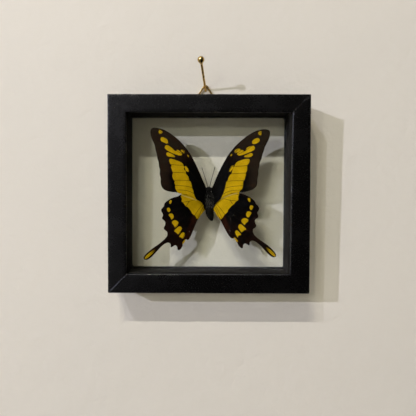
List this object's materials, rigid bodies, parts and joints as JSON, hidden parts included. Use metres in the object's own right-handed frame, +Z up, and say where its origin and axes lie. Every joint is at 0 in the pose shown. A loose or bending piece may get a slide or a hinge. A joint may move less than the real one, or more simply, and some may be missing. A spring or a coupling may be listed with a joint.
{
  "type": "framed butterfly specimen",
  "caption": "Square black double-glass box frame holding a spread yellow and black swallowtail butterfly, hung by a ring on a nail.",
  "frame": {"origin": "where the axis of the hanging nail enters the wall; the wall is the plane y = 0", "axes": "+Z up, +X to the right seen from the front, the front of the frame faces -Y and its back faces the wall at +Y"},
  "size_m": [0.15, 0.0435, 0.1755],
  "materials": {
    "black_paint": "satin black paint on wood moulding",
    "spacer_grey": "matt dark grey painted strip",
    "pane": "clear picture glass",
    "wing": "matt scaled wing, black-brown with yellow bands",
    "insect_body": "furry black chitin",
    "clear_adhesive": "clear glue",
    "brass": "polished brass plate, slightly tarnished"
  },
  "bodies": {
    "hanger": {"hanging_nail": "brass", "hanger_ring": "brass"},
    "frame": {"rail_top": "black_paint", "rail_right": "black_paint", "rail_bottom": "black_paint", "rail_left": "black_paint", "glass_front": "pane", "spacer_top": "spacer_grey", "spacer_right": "spacer_grey", "spacer_bottom": "spacer_grey", "spacer_left": "spacer_grey", "glass_back": "pane", "retainer_top": "black_paint", "retainer_right": "black_paint", "retainer_bottom": "black_paint", "retainer_left": "black_paint", "butterfly_body": "insect_body", "forewing_left": "wing", "forewing_right": "wing", "hindwing_left": "wing", "hindwing_right": "wing", "antenna_left": "insect_body", "antenna_right": "insect_body", "adhesive_dab": "clear_adhesive", "hanger_strap": "brass", "hanger_screw": "brass"}
  },
  "joints": [
    {"name": "frame_tilt", "type": "hinge", "parent": "hanger", "child": "frame", "pos_m": [0, -0.00195, -0.00935], "axis": [-1, 0, 0], "range_deg": [0, 35]}
  ]
}
